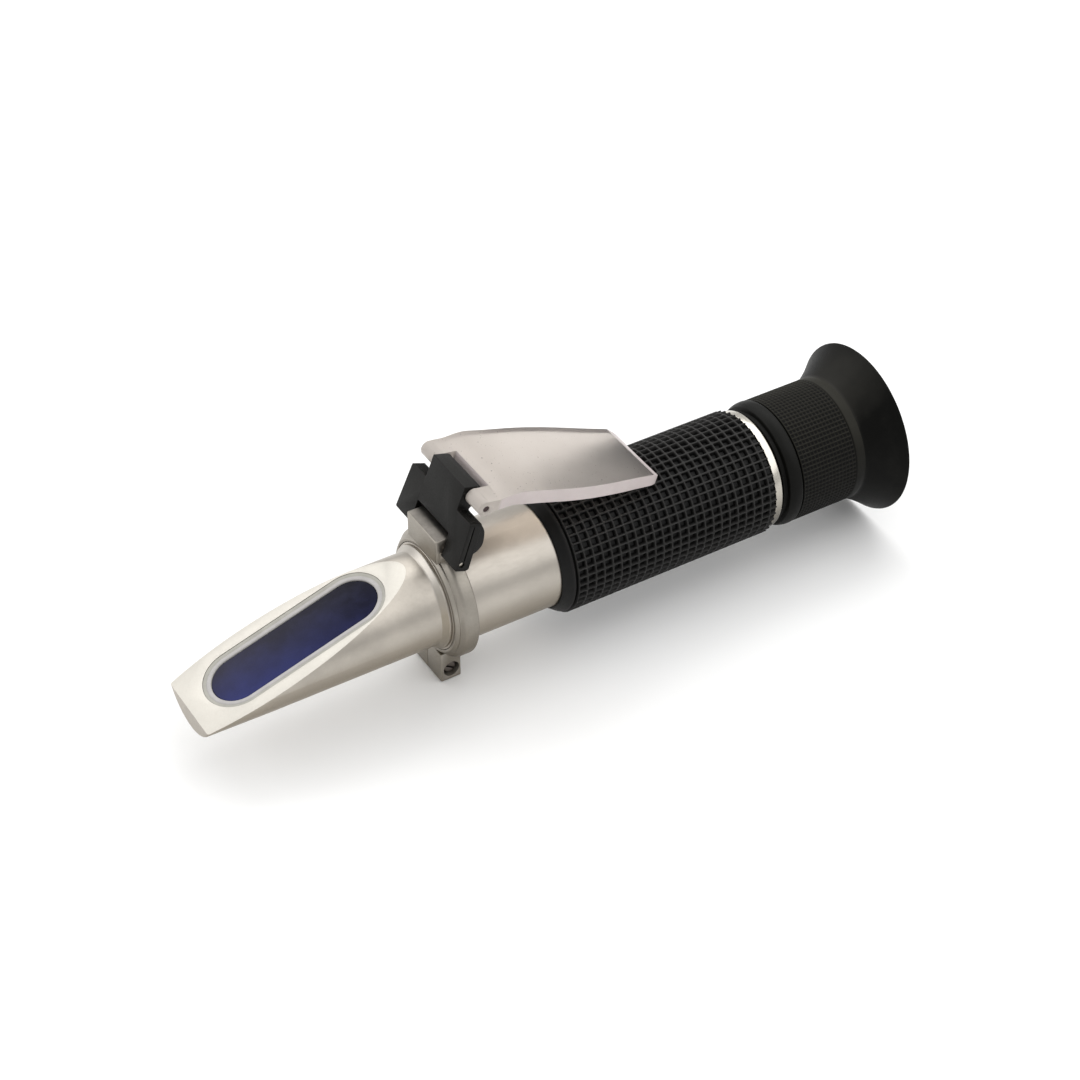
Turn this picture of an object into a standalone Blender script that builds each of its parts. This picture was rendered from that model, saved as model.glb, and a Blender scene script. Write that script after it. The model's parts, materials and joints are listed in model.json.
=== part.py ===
"""Hand-held refractometer with a folding daylight plate, lying on its clamp lug and its eyecup.

Metres, +Z up. +X runs from the prism to the eyepiece, the optical axis is level, and the origin
lies under the middle of the instrument on the surface that it rests on.
"""

from math import cos, pi, radians, sin

import bmesh
import bpy
from mathutils import Matrix, Vector

MM = 0.001

# Driving dimensions, in millimetres. X stations are measured from the middle of the length.
LENGTH = 164.0
EYECUP_R = 19.4
GRIP_R = 14.12
BARREL_R = 11.75
BARREL_BORE_R = 10.0
BOX_R = 10.3
NOSE_R = 10.1
NOSE_TAPER = 14.0
FLANGE_R = 11.35
COLLAR_R = 14.2
BUSH_R = 13.65
EYEPIECE_R = 14.15

NOSE_X = -LENGTH / 2
FLANGE_X = -29.75
COLLAR_X = (-27.9, -23.1)
GRIP_X = (-2.3, 50.5)
RING_X = (50.7, 52.6)
FOCUS_X = (53.1, 57.5)
CUP_SLEEVE_X = (57.7, 74.0)
RIM_X = LENGTH / 2

FACE_SLOPE = radians(17.5)
FACE_DROP = 5.25  # depth of the slanted face below the optical axis, at the nose
WINDOW_MIDDLE = 25.1  # along the slanted face, from the nose
WINDOW_HALF_STRAIGHT = 13.5
GLASS_R = 5.65
GLASS_DEPTH = 0.42  # below the slanted face
SEAL_R = 7.45
SEAL_DEPTH = 1.4
PRISM_FLOOR = 6.4  # below the optical axis
PRISM_EXIT_X = -41.5

LUG_HALF_WIDTH = 5.9
LUG_X = (-28.4, -23.9)
LUG_TOP = 18.6  # above the optical axis
FOOT_HALF_WIDTH = 5.6
CLAMP_SPLIT = 0.4
CLAMP_SCREW_X = -25.4
CLAMP_SCREW_DROP = 17.2
CLAMP_SCREW_R = 1.0
CLAMP_HEAD_R = 1.4

BRACKET_PIN_X = -26.1
BRACKET_PIN_RISE = 16.35  # above the optical axis
BRACKET_LEAN = radians(21.5)
BRACKET_PIN_R = 0.6
BRACKET_PIN_HALF_LENGTH = 11.9
# The bracket is a cross-shaped front plate with a narrower body behind it. Its outlines are drawn with
# the bracket upright: behind the pin and above the pin.
FRONT_FACE = -0.9
FRONT_PLATE_THICKNESS = 2.9
WING_TOP = 9.2
WING_FOOT = -1.6
WING_TOP_HALF_WIDTH = 11.65
WING_FOOT_HALF_WIDTH = 12.4
BODY_HALF_WIDTH = 11.3
BODY_SIDE = ((1.0, -1.2), (1.0, 9.0), (2.1, 9.0), (3.4, 7.6), (4.2, 4.4), (3.4, 2.6), (2.4, 1.7), (2.4, -1.2))
NOTCH_HEIGHT = 3.75
TONGUE_HALF_WIDTH = 6.25
TONGUE_TOP = 14.6
TONGUE_BACK = 3.3
TONGUE_CORNER_R = 1.8
PLATE_PIN_BEHIND = 1.6
PLATE_PIN_ABOVE = 12.76
PLATE_PIN_R = 0.7
PLATE_SLOPE = radians(18.6)

# Half-width of the plate against the distance from the hinge axis.
PLATE_PLAN = (
    (-0.3, 11.7), (6, 11.6), (13, 11.6), (20, 11.75), (26, 11.45), (32, 10.65), (38, 9.65), (43.6, 9.0),
    (44.6, 8.7),
)
# Side outline of the plate: (behind the hinge axis, above it).
PLATE_SIDE = (
    (0, 1.7), (3.1, 2.1), (5.2, 2.9), (7.2, 3.52), (42.7, 3.52), (44.6, 2.8), (44.6, 0.95), (36, 0.52),
    (9, 0.52), (6, 0.8), (3.4, 1.1), (1.2, 0.9),
)
PLATE_SLOT_DEPTH = 3.08
RIB_THICKNESS = 1.5
RIB_HEIGHT = (-0.9, 1.9)  # of the rib behind the slot, from below the hinge axis to above it
KNUCKLE_R = 1.72
KNUCKLE_Y = (6.5, 11.7)

FIT = 0.2  # gap between fixed pieces
HINGE_PLAY = 0.06  # radial clearance of a pin that turns
STEPS = 48
SMALL_STEPS = 24

CELL_X = (-20.4, -14.0)
CALIBRATION_X = -17.5
OCULAR_TUBE_R = 8.5
OCULAR_TUBE_X = (44.0, 73.0)
OCULAR_BORE_R = 7.3
LENS_R = 7.1

AXIS_HEIGHT = 20.0


def empty_scene():
    for obj in list(bpy.data.objects):
        bpy.data.objects.remove(obj, do_unlink=True)


def new_collection(name):
    collection = bpy.data.collections.new(name)
    bpy.context.scene.collection.children.link(collection)
    return collection


def material(name, colour, roughness, metallic=0.0, transmission=0.0):
    made = bpy.data.materials.new(name)
    made.use_nodes = True
    shader = made.node_tree.nodes["Principled BSDF"]
    shader.inputs["Base Color"].default_value = (*colour, 1.0)
    shader.inputs["Roughness"].default_value = roughness
    shader.inputs["Metallic"].default_value = metallic
    shader.inputs["Transmission Weight"].default_value = transmission
    made.diffuse_color = (*colour, 1.0)
    return made


def pivot(name, place, tilt=0.0, parent=None):
    """An empty at place in millimetres, turned by tilt about Y, on which moving pieces hang."""
    empty = bpy.data.objects.new(name, None)
    empty.empty_display_size = 5 * MM
    empty.location = Vector(place) * MM
    empty.rotation_euler = (0, tilt, 0)
    empty.parent = parent
    parts.objects.link(empty)
    return empty


def smooth(mesh):
    mesh.shade_smooth()
    mesh.set_sharp_from_angle(angle=radians(35))


def add_piece(name, mesh, finish, parent):
    piece = bpy.data.objects.new(name, mesh)
    piece.data.materials.append(finish)
    piece.parent = parent
    parts.objects.link(piece)
    return piece


def add_cutter(name, mesh, parent):
    cutter = bpy.data.objects.new(name, mesh)
    cutter.parent = parent
    cutter.hide_render = True
    cutter.display_type = "WIRE"
    cutters.objects.link(cutter)
    return cutter


def combine(piece, other, operation="DIFFERENCE"):
    """Cuts other from piece, or joins the two with operation UNION."""
    boolean = piece.modifiers.new(f"{operation.lower()} {other.name}", "BOOLEAN")
    boolean.operation = operation
    boolean.solver = "EXACT"
    boolean.object = other


def turn(obj, steps):
    """Spins an outline drawn in the XZ plane about the object's own Z, which lies along +X."""
    obj.rotation_euler = (0, pi / 2, 0)
    screw = obj.modifiers.new("turned", "SCREW")
    screw.axis = "Z"
    screw.angle = 2 * pi
    screw.steps = screw.render_steps = steps
    screw.use_merge_vertices = True
    screw.merge_threshold = 0.00001
    screw.use_smooth_shade = True


def section_mesh(name, outline):
    """A turned section's mesh from (x, radius) points in millimetres, closed unless it meets the axis."""
    count = len(outline)
    area = sum(
        outline[i][1] * outline[(i + 1) % count][0] - outline[(i + 1) % count][1] * outline[i][0]
        for i in range(count)
    )
    ordered = outline if area < 0 else outline[::-1]
    closed = all(radius > 0 for _, radius in ordered)
    if not closed:
        while ordered[0][1] > 0 or ordered[-1][1] > 0:
            ordered = ordered[1:] + ordered[:1]
    edges = [(i, i + 1) for i in range(count - 1)] + ([(count - 1, 0)] if closed else [])
    mesh = bpy.data.meshes.new(name)
    mesh.from_pydata([(radius * MM, 0, x * MM) for x, radius in ordered], edges, [])
    return mesh


def turned(name, outline, finish, parent, steps=STEPS):
    piece = add_piece(name, section_mesh(name, outline), finish, parent)
    turn(piece, steps)
    return piece


def turned_cutter(name, outline, parent, steps=STEPS):
    cutter = add_cutter(name, section_mesh(name, outline), parent)
    turn(cutter, steps)
    return cutter


def tube(x0, x1, outer, inner):
    """The section of a plain tube or ring."""
    return [(x0, outer), (x1, outer), (x1, inner), (x0, inner)]


def box_mesh(name, low, high):
    mesh = bpy.data.meshes.new(name)
    form = bmesh.new()
    bmesh.ops.create_cube(form, size=1.0)
    size = [b - a for a, b in zip(low, high)]
    middle = [(a + b) / 2 for a, b in zip(low, high)]
    bmesh.ops.scale(form, vec=Vector(size) * MM, verts=form.verts)
    bmesh.ops.translate(form, vec=Vector(middle) * MM, verts=form.verts)
    form.to_mesh(mesh)
    form.free()
    return mesh


def cylinder_mesh(name, radius, start, end, axis="Y", segments=24):
    """A round bar along X, Y or Z between two stations, with its axis through the object's origin."""
    mesh = bpy.data.meshes.new(name)
    form = bmesh.new()
    bmesh.ops.create_cone(
        form, cap_ends=True, segments=segments,
        radius1=radius * MM, radius2=radius * MM, depth=(end - start) * MM,
    )
    bmesh.ops.translate(form, vec=(0, 0, (start + end) / 2 * MM), verts=form.verts)
    if axis == "Y":
        bmesh.ops.rotate(form, matrix=Matrix.Rotation(-pi / 2, 3, "X"), verts=form.verts)
    elif axis == "X":
        bmesh.ops.rotate(form, matrix=Matrix.Rotation(pi / 2, 3, "Y"), verts=form.verts)
    form.to_mesh(mesh)
    form.free()
    smooth(mesh)
    return mesh


def flat_mesh(name, outline, thickness, upright=False):
    """A flat shape of even thickness: an outline in XY, or in XZ when upright, centred on its plane."""
    curve = bpy.data.curves.new(name, "CURVE")
    curve.dimensions = "2D"
    curve.fill_mode = "BOTH"
    curve.extrude = thickness / 2 * MM
    spline = curve.splines.new("POLY")
    spline.points.add(len(outline) - 1)
    for point, (a, b) in zip(spline.points, outline):
        point.co = (a * MM, b * MM, 0, 1)
    spline.use_cyclic_u = True
    guide = bpy.data.objects.new(name, curve)
    parts.objects.link(guide)
    bpy.context.view_layer.update()
    mesh = bpy.data.meshes.new_from_object(guide.evaluated_get(bpy.context.evaluated_depsgraph_get()))
    bpy.data.objects.remove(guide)
    form = bmesh.new()
    form.from_mesh(mesh)
    bmesh.ops.remove_doubles(form, verts=form.verts, dist=0.000001)
    if upright:
        bmesh.ops.rotate(form, matrix=Matrix.Rotation(pi / 2, 3, "X"), verts=form.verts)
    bmesh.ops.recalc_face_normals(form, faces=form.faces)
    form.to_mesh(mesh)
    form.free()
    return mesh


def stadium(radius, half_straight, steps=16):
    """A slot outline with round ends, long along X."""
    points = []
    for end, start in ((1, -pi / 2), (-1, pi / 2)):
        for i in range(steps + 1):
            angle = start + pi * i / steps
            points.append((end * half_straight + radius * cos(angle), radius * sin(angle)))
    return points


def box_cutter(name, low, high, parent):
    return add_cutter(name, box_mesh(name, low, high), parent)


def bar_cutter(name, radius, start, end, parent, axis="Y"):
    return add_cutter(name, cylinder_mesh(name, radius, start, end, axis), parent)


def bar_piece(name, radius, start, end, finish, parent, axis="Y"):
    return add_piece(name, cylinder_mesh(name, radius, start, end, axis), finish, parent)


def flat_cutter(name, outline, thickness, parent, upright=False):
    return add_cutter(name, flat_mesh(name, outline, thickness, upright), parent)


def bevel(piece, width, segments=2, angle=30):
    edge = piece.modifiers.new("rounded edges", "BEVEL")
    edge.width = width * MM
    edge.segments = segments
    edge.limit_method = "ANGLE"
    edge.angle_limit = radians(angle)


def make_prism_box():
    """The cast box that holds the prism: a round bar cut by the slanted face, and hollow behind it."""
    spigot_r, bore_r = BARREL_BORE_R - FIT, 8.0
    flange_back = COLLAR_X[0] - FIT
    outline = [
        (NOSE_X, 0), (NOSE_X, NOSE_R - 0.6), (NOSE_X + 0.6, NOSE_R), (NOSE_X + NOSE_TAPER, BOX_R),
        (FLANGE_X, BOX_R), (FLANGE_X + FLANGE_R - BOX_R, FLANGE_R), (flange_back, FLANGE_R),
        (flange_back, spigot_r), (-21.0, spigot_r), (-21.0, 0),
    ]
    box = turned("prism_box", outline, cast_metal, optical_axis)
    waste = box_cutter("above_the_slanted_face", (-5, -20, 0), (70, 20, 40), face_pivot)
    combine(box, waste)
    pocket_outline = stadium(SEAL_R, WINDOW_HALF_STRAIGHT)
    seal_pocket = flat_cutter("seal_pocket", pocket_outline, 2 * SEAL_DEPTH, window_pivot)
    combine(box, seal_pocket)
    well = flat_cutter("prism_well", stadium(GLASS_R + 0.15, WINDOW_HALF_STRAIGHT), 60, window_pivot)
    floor = box_cutter("well_floor", (-90, -20, -60), (0, 20, -PRISM_FLOOR - FIT), optical_axis)
    combine(well, floor)
    combine(box, well)
    bore_outline = [(-44.0, 0), (-44.0, bore_r), (-15.0, bore_r), (-15.0, 0)]
    bore = turned_cutter("light_bore", bore_outline, optical_axis)
    combine(box, bore)


def make_prism():
    """The glass wedge: the slanted measuring face above, a level floor below and an upright exit face."""
    outline = stadium(GLASS_R, WINDOW_HALF_STRAIGHT)
    glass = add_piece("prism", flat_mesh("prism", outline, 50), blue_glass, window_pivot)
    above = box_cutter("above_the_glass", (-40, -20, -GLASS_DEPTH), (40, 20, 40), window_pivot)
    below = box_cutter("below_the_glass", (-90, -20, -60), (0, 20, -PRISM_FLOOR), optical_axis)
    behind = box_cutter("behind_the_glass", (PRISM_EXIT_X, -20, -60), (0, 20, 5.6), optical_axis)
    for cutter in (above, below, behind):
        combine(glass, cutter)


def make_prism_seal():
    """The sealing compound round the glass, in its pocket."""
    depth = SEAL_DEPTH - 0.15
    outline = stadium(SEAL_R - 0.1, WINDOW_HALF_STRAIGHT)
    seal = add_piece("prism_seal", flat_mesh("prism_seal", outline, depth), grey_seal, window_pivot)
    seal.location.z = -(depth / 2 + 0.02) * MM
    inside = flat_cutter("seal_inside", stadium(GLASS_R + 0.1, WINDOW_HALF_STRAIGHT), 10, window_pivot)
    combine(seal, inside)


def make_collar():
    """The clamp ring round the barrel, with the hinge lug above and the split clamp lug below."""
    inner = BARREL_R + FIT
    front, back = COLLAR_X
    outline = [
        (front, COLLAR_R - 1.3), (front + 1.4, COLLAR_R), (back - 0.5, COLLAR_R), (back, COLLAR_R - 0.5),
        (back, inner), (front, inner),
    ]
    collar = turned("hinge_collar", outline, cast_metal, optical_axis)
    lug_low = (LUG_X[0], -LUG_HALF_WIDTH, 12.6)
    lug_high = (LUG_X[1], LUG_HALF_WIDTH, LUG_TOP)
    lug = box_cutter("hinge_lug", lug_low, lug_high, optical_axis)
    bevel(lug, 0.35)
    foot_low = (front, -FOOT_HALF_WIDTH, -AXIS_HEIGHT)
    foot_high = (back, FOOT_HALF_WIDTH, -12.4)
    foot = box_cutter("clamp_lug", foot_low, foot_high, optical_axis)
    for joined in (lug, foot):
        combine(collar, joined, "UNION")
    pin_hole = bar_cutter("bracket_pin_hole", BRACKET_PIN_R + HINGE_PLAY, -10, 10, optical_axis)
    pin_hole.location = Vector((BRACKET_PIN_X, 0, BRACKET_PIN_RISE)) * MM
    half_split = CLAMP_SPLIT / 2
    split = box_cutter("clamp_split", (front - 2, -half_split, -30), (back + 2, half_split, -9), optical_axis)
    shank_hole = bar_cutter("clamp_hole", CLAMP_SCREW_R + 0.15, -10, 3.9, clamp_axis)
    head_hole = bar_cutter("clamp_head_hole", CLAMP_HEAD_R + 0.15, -10, -3.0, clamp_axis)
    for cutter in (pin_hole, split, shank_hole, head_hole):
        combine(collar, cutter)


def make_clamp_screw():
    """The screw that closes the split lug: a slotted cheese head on the near side."""
    screw = bar_piece("clamp_screw", CLAMP_HEAD_R, -4.9, -3.15, dark_steel, clamp_axis)
    shank = bar_cutter("clamp_shank", CLAMP_SCREW_R, -3.6, 3.6, clamp_axis)
    slot = box_cutter("clamp_screw_slot", (-2, -5.5, -0.25), (2, -4.3, 0.25), clamp_axis)
    combine(screw, shank, "UNION")
    combine(screw, slot)


def make_bracket():
    """The plastic bracket: two legs astride the hinge lug, and a tongue for the plate's pin."""
    half_notch = LUG_HALF_WIDTH + 0.3
    half_cross = [
        (half_notch, NOTCH_HEIGHT), (half_notch, WING_FOOT), (WING_FOOT_HALF_WIDTH, WING_FOOT),
        (WING_TOP_HALF_WIDTH, WING_TOP), (TONGUE_HALF_WIDTH, WING_TOP), (TONGUE_HALF_WIDTH, TONGUE_TOP - 0.5),
    ]
    cross = half_cross + [(-y, z) for y, z in reversed(half_cross)]
    front = flat_mesh("cover_bracket", cross, FRONT_PLATE_THICKNESS, upright=True)
    front.transform(Matrix.Rotation(pi / 2, 4, "Z"))
    front.transform(Matrix.Translation(((FRONT_FACE + FRONT_PLATE_THICKNESS / 2) * MM, 0, 0)))
    bracket = add_piece("cover_bracket", front, black_plastic, bracket_pivot)
    bevel(bracket, 0.2, segments=1)
    body = flat_cutter("bracket_body", BODY_SIDE, 2 * BODY_HALF_WIDTH, bracket_pivot, upright=True)
    behind, above = TONGUE_BACK - TONGUE_CORNER_R, TONGUE_TOP + 0.1 - TONGUE_CORNER_R
    angles = [pi / 2 * i / 6 for i in range(7)]
    crown = [(behind + TONGUE_CORNER_R * cos(a), above + TONGUE_CORNER_R * sin(a)) for a in angles]
    tongue_side = [(TONGUE_BACK, 10.8), *crown, (FRONT_FACE, TONGUE_TOP - 0.1)]
    tongue_side += [(FRONT_FACE, 6.0), (1.8, 6.0), (1.8, WING_TOP)]
    tongue_width = 2 * TONGUE_HALF_WIDTH + 0.02
    tongue = flat_cutter("plate_tongue", tongue_side, tongue_width, bracket_pivot, upright=True)
    for joined in (body, tongue):
        combine(bracket, joined, "UNION")
    notch = box_cutter("lug_notch", (-6, -half_notch, -6), (9, half_notch, NOTCH_HEIGHT), bracket_pivot)
    leg_holes = bar_cutter("leg_holes", BRACKET_PIN_R + 0.05, -20, 20, bracket_pivot)
    tongue_hole = bar_cutter("tongue_hole", PLATE_PIN_R + 0.05, -20, 20, plate_pivot)
    for cutter in (notch, leg_holes, tongue_hole):
        combine(bracket, cutter)


def make_hinge_pins():
    """The two steel hinge pins, both held by the bracket."""
    half = BRACKET_PIN_HALF_LENGTH
    bar_piece("bracket_pin", BRACKET_PIN_R, -half, half, dark_steel, bracket_pivot)
    half = KNUCKLE_Y[1] - 0.2
    bar_piece("plate_pin", PLATE_PIN_R, -half, half, dark_steel, plate_pivot)


def make_plate():
    """The clear daylight plate: thin arms with knuckles at the hinge, and a slot between them."""
    outline = list(PLATE_PLAN) + [(x, -y) for x, y in reversed(PLATE_PLAN)]
    plate = add_piece("daylight_plate", flat_mesh("daylight_plate", outline, 20), clear_plastic, plate_pivot)
    side = flat_cutter("plate_side", PLATE_SIDE, 40, plate_pivot, upright=True)
    combine(plate, side, "INTERSECT")
    bevel(plate, 0.3, segments=1)
    knuckles = bar_cutter("knuckles", KNUCKLE_R, -KNUCKLE_Y[1], KNUCKLE_Y[1], plate_pivot)
    half_slot = KNUCKLE_Y[0]
    rib_low = (PLATE_SLOT_DEPTH - 0.5, -half_slot - 0.4, RIB_HEIGHT[0])
    rib_high = (PLATE_SLOT_DEPTH + RIB_THICKNESS, half_slot + 0.4, RIB_HEIGHT[1])
    rib = box_cutter("slot_rib", rib_low, rib_high, plate_pivot)
    slot = box_cutter("plate_slot", (-9, -half_slot, -9), (PLATE_SLOT_DEPTH, half_slot, 9), plate_pivot)
    pin_hole = bar_cutter("plate_pin_hole", PLATE_PIN_R + HINGE_PLAY, -20, 20, plate_pivot)
    for joined in (knuckles, rib):
        combine(plate, joined, "UNION")
    for cutter in (slot, pin_hole):
        combine(plate, cutter)


def make_barrel():
    """The plain metal tube that carries everything, with a hole on top for the calibration screw."""
    front, back = COLLAR_X[0], RING_X[0] - FIT
    outline = tube(front, back, BARREL_R, BARREL_BORE_R)
    barrel = turned("barrel_tube", outline, satin_metal, optical_axis)
    seat_hole = bar_cutter("calibration_hole", 2.6, 5, 20, calibration_axis, axis="Z")
    combine(barrel, seat_hole)


def make_grip():
    """The rubber sleeve, with a smooth band and a groove at its front end."""
    inner = BARREL_R + FIT
    front, back = GRIP_X
    groove = front + 3.4
    outline = [
        (front, inner + 0.25), (front + 1.1, GRIP_R - 1.3), (front + 2.3, GRIP_R - 0.45),
        (groove - 0.3, GRIP_R - 0.05), (groove, GRIP_R - 0.35), (groove, GRIP_R - 0.9),
        (groove + 0.7, GRIP_R - 0.9), (groove + 0.7, GRIP_R),
        (back - 0.3, GRIP_R), (back, GRIP_R - 0.3), (back, inner), (front, inner),
    ]
    turned("grip_sleeve", outline, black_rubber, optical_axis)


def make_rear_bush():
    """The bright ring behind the grip, whose spigot in the barrel guides the ocular tube."""
    front, back = RING_X
    bore = OCULAR_TUBE_R + 0.1
    spigot_r = BARREL_BORE_R - FIT
    groove_r = bore + 0.85
    outline = [
        (front, BUSH_R), (back - 0.3, BUSH_R), (back, BUSH_R - 0.35), (back, bore), (47.6, bore),
        (47.6, groove_r), (46.2, groove_r), (46.2, bore), (40.0, bore), (40.0, spigot_r), (front, spigot_r),
    ]
    turned("rear_bush", outline, satin_metal, optical_axis)
    turned("focus_o_ring", round_section(46.9, bore + 0.45, 0.36), black_rubber, optical_axis, SMALL_STEPS)


def round_section(x, radius, thickness, points=8):
    """A ring's round section, for an O-ring."""
    angles = [2 * pi * i / points for i in range(points)]
    return [(x + thickness * cos(angle), radius + thickness * sin(angle)) for angle in angles]


def lens_section(front, back, radius, front_bulge, back_bulge, points=4):
    """Half the section of a lens whose faces bulge by the given heights at its centre."""
    shares = [i / points for i in range(points + 1)]
    front_face = [(front - front_bulge * (1 - share ** 2), radius * share) for share in shares]
    back_face = [(back + back_bulge * (1 - share ** 2), radius * share) for share in reversed(shares)]
    return front_face + back_face


def make_calibration():
    """The adjusting screw in its seat on top of the barrel, and the lens cell that it shifts."""
    seat = bar_piece("calibration_seat", 2.45, 9.4, 12.9, satin_metal, calibration_axis, axis="Z")
    seat_recess = bar_cutter("seat_recess", 1.75, 11.9, 20, calibration_axis, axis="Z")
    seat_bore = bar_cutter("seat_bore", 1.06, 5, 20, calibration_axis, axis="Z")
    for cutter in (seat_recess, seat_bore):
        combine(seat, cutter)
    screw = bar_piece("calibration_screw", 1.6, 12.0, 12.8, brass, calibration_axis, axis="Z")
    shank = bar_cutter("calibration_shank", 1.0, 7.7, 12.3, calibration_axis, axis="Z")
    slot = box_cutter("calibration_slot", (-3, -0.25, 12.4), (3, 0.25, 14), calibration_axis)
    combine(screw, shank, "UNION")
    combine(screw, slot)
    front, back = CELL_X
    outline = [
        (front, 8.6), (back, 8.6), (back, LENS_R - 0.5), (front + 1.0, LENS_R - 0.5),
        (front + 1.0, LENS_R - 1.4), (front, LENS_R - 1.4),
    ]
    cell = turned("objective_cell", outline, black_metal, optical_axis, SMALL_STEPS)
    nut_hole = bar_cutter("cell_nut_hole", 1.12, 7.4, 12, calibration_axis, axis="Z")
    combine(cell, nut_hole)
    glass_front = front + 1.2
    glass = lens_section(glass_front, glass_front + 1.4, 6.4, 0.1, 0.9)
    turned("objective_lens", glass, clear_glass, optical_axis, SMALL_STEPS)
    turned("objective_ring", tube(back - 1.9, back - 1.0, 6.45, 5.6), black_metal, optical_axis, SMALL_STEPS)


def make_compensator():
    """The two-metal strip that bends with temperature, a leaf along the bottom of the barrel."""
    front, length = CELL_X[1] + 0.4, 14.0
    top = [(front + length * i / 8, -9.3 + 1.2 * cos(pi / 2 * i / 8)) for i in range(9)]
    leaf = top + [(x, z - 0.4) for x, z in reversed(top)]
    strip = flat_mesh("compensator_strip", leaf, 3.0, upright=True)
    add_piece("compensator_strip", strip, brass, optical_axis)


def make_barrel_optics():
    """The stop, the scale glass and its holder, which sit in the barrel's bore."""
    seat_r = BARREL_BORE_R - FIT
    turned("field_stop", tube(14.0, 15.2, seat_r, 5.0), black_metal, optical_axis, SMALL_STEPS)
    holder = [
        (26.0, seat_r), (33.0, seat_r), (33.0, 8.3), (28.0, 8.3), (28.0, 6.6), (26.0, 6.6),
    ]
    turned("scale_holder", holder, black_metal, optical_axis, SMALL_STEPS)
    glass = [(28.2, 0), (28.2, 8.1), (29.6, 8.1), (29.6, 0)]
    turned("scale_glass", glass, clear_glass, optical_axis, SMALL_STEPS)
    turned("scale_ring", tube(29.8, 31.4, 8.1, 6.8), black_metal, optical_axis, SMALL_STEPS)


def make_ocular():
    """The sliding tube of the eyepiece with its two lenses, their spacer and the ring that holds them."""
    front, back = OCULAR_TUBE_X
    lip = 6.2
    outline = [
        (front, OCULAR_TUBE_R), (back, OCULAR_TUBE_R), (back, OCULAR_BORE_R), (front + 1.2, OCULAR_BORE_R),
        (front + 1.2, lip), (front, lip),
    ]
    turned("ocular_tube", outline, black_metal, ocular_slide)
    turned("field_lens", lens_section(45.6, 47.0, LENS_R, 0.0, 1.4), clear_glass, ocular_slide, SMALL_STEPS)
    turned("lens_spacer", tube(48.8, 66.0, LENS_R, 6.3), black_metal, ocular_slide, SMALL_STEPS)
    turned("eye_lens", lens_section(68.2, 69.8, LENS_R, 1.3, 0.8), clear_glass, ocular_slide, SMALL_STEPS)
    turned("ocular_ring", tube(71.0, 72.8, LENS_R, 5.9), black_metal, ocular_slide, SMALL_STEPS)


def make_focus_ring():
    """The turning ring: a thin front band, a groove, a rounded shoulder, and the hub under the eyecup."""
    front, back = FOCUS_X
    bore = OCULAR_TUBE_R + 0.15
    hub_r, hub_back = 12.6, 73.2
    outline = [
        (front, 12.9), (front + 0.4, 13.1), (front + 0.5, hub_r), (front + 1.2, hub_r), (front + 1.4, 13.6),
        (front + 2.4, 14.1), (front + 3.3, 14.25), (back - 0.3, 14.25), (back, 13.95), (back, hub_r),
        (hub_back, hub_r), (hub_back, bore), (front, bore),
    ]
    turned("focus_ring", outline, black_plastic, focus_axis)


def make_eyecup():
    """The rubber eyecup: a sleeve over the hub, a smooth band, and the flared cup with its rolled rim."""
    front, back = CUP_SLEEVE_X
    wall = 1.1
    cup_floor = 75.0
    flare = [
        (back + (RIM_X - back) * t, EYEPIECE_R + (EYECUP_R - EYEPIECE_R) * (0.75 * t + 0.25 * t * t))
        for t in (i / 6 for i in range(7))
    ]
    inside = [(x, radius - wall) for x, radius in reversed(flare) if x > cup_floor]
    outline = [(front, EYEPIECE_R - 0.3), (front + 0.3, EYEPIECE_R)] + flare + inside + [
        (cup_floor, 12.6), (cup_floor, 7.6), (73.5, 7.6), (73.5, 12.8), (front, 12.8),
    ]
    turned("eyecup", outline, black_rubber, focus_axis)


empty_scene()
parts = new_collection("refractometer")
cutters = new_collection("cutters")

cast_metal = material("cast metal", (0.62, 0.60, 0.56), 0.42, 1.0)
satin_metal = material("satin metal", (0.66, 0.64, 0.61), 0.34, 1.0)
dark_steel = material("dark steel", (0.20, 0.19, 0.18), 0.40, 1.0)
black_metal = material("blackened metal", (0.03, 0.03, 0.03), 0.55, 0.6)
brass = material("brass", (0.72, 0.54, 0.25), 0.35, 1.0)
black_plastic = material("black plastic", (0.025, 0.025, 0.024), 0.42)
black_rubber = material("black rubber", (0.022, 0.021, 0.020), 0.62)
grey_seal = material("grey seal", (0.42, 0.42, 0.38), 0.55)
blue_glass = material("prism glass", (0.03, 0.04, 0.16), 0.05)
clear_glass = material("lens glass", (0.92, 0.95, 0.95), 0.03, transmission=0.95)
clear_plastic = material("clear plastic", (0.80, 0.76, 0.74), 0.30, transmission=0.6)

optical_axis = pivot("optical_axis", (0, 0, AXIS_HEIGHT))
face_pivot = pivot("slanted_face", (NOSE_X, 0, -FACE_DROP), -FACE_SLOPE, optical_axis)
window_pivot = pivot("window", (WINDOW_MIDDLE, 0, 0), 0.0, face_pivot)
clamp_axis = pivot("clamp_axis", (CLAMP_SCREW_X, 0, -CLAMP_SCREW_DROP), 0.0, optical_axis)
calibration_axis = pivot("calibration_axis", (CALIBRATION_X, 0, 0), 0.0, optical_axis)
bracket_pivot = pivot("bracket_hinge", (BRACKET_PIN_X, 0, BRACKET_PIN_RISE), BRACKET_LEAN, optical_axis)
plate_pin_place = (PLATE_PIN_BEHIND, 0, PLATE_PIN_ABOVE)
plate_pivot = pivot("plate_hinge", plate_pin_place, PLATE_SLOPE - BRACKET_LEAN, bracket_pivot)
ocular_slide = pivot("ocular_slide", (0, 0, 0), 0.0, optical_axis)
focus_axis = pivot("focus_axis", (0, 0, 0), 0.0, ocular_slide)

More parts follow.
